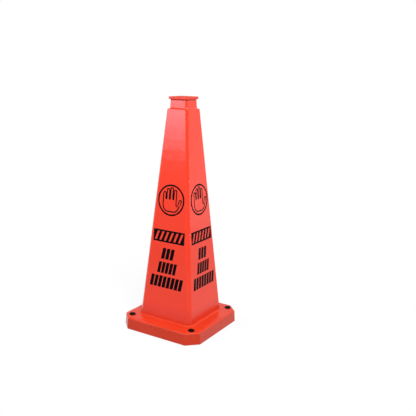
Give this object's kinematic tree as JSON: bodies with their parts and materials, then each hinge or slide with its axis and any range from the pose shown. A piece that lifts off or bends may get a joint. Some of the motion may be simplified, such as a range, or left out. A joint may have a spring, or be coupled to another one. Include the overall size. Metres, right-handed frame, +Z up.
{
  "type": "floor safety cone",
  "caption": "Four-sided tapered floor warning cone: hollow stackable shell with a shoulder, neck and lipped cap, riveted to a square ballasted base on rubber feet.",
  "frame": {"origin": "on the floor, at the centre of the base", "axes": "+Z up along the cone's axis; the four faces look along -Y, +X, +Y and -X"},
  "size_m": [0.3576, 0.3576, 0.914],
  "materials": {
    "orange_plastic": "semi-gloss moulded plastic, orange-red, with dark printed marks on the four faces",
    "black_nylon": "satin black moulded nylon",
    "black_rubber": "matt black recycled rubber"
  },
  "bodies": {
    "root": {"cone_body": "orange_plastic", "neck_cap": "orange_plastic", "base_skirt": "orange_plastic", "ballast_ring": "black_rubber", "rivet_sleeve_front_left": "black_nylon", "rivet_sleeve_front_right": "black_nylon", "rivet_sleeve_rear_right": "black_nylon", "rivet_sleeve_rear_left": "black_nylon", "rivet_pin_front_left": "black_nylon", "rivet_pin_front_right": "black_nylon", "rivet_pin_rear_right": "black_nylon", "rivet_pin_rear_left": "black_nylon", "rubber_foot_front_left": "black_rubber", "rubber_foot_front_right": "black_rubber", "rubber_foot_rear_right": "black_rubber", "rubber_foot_rear_left": "black_rubber"}
  },
  "joints": []
}
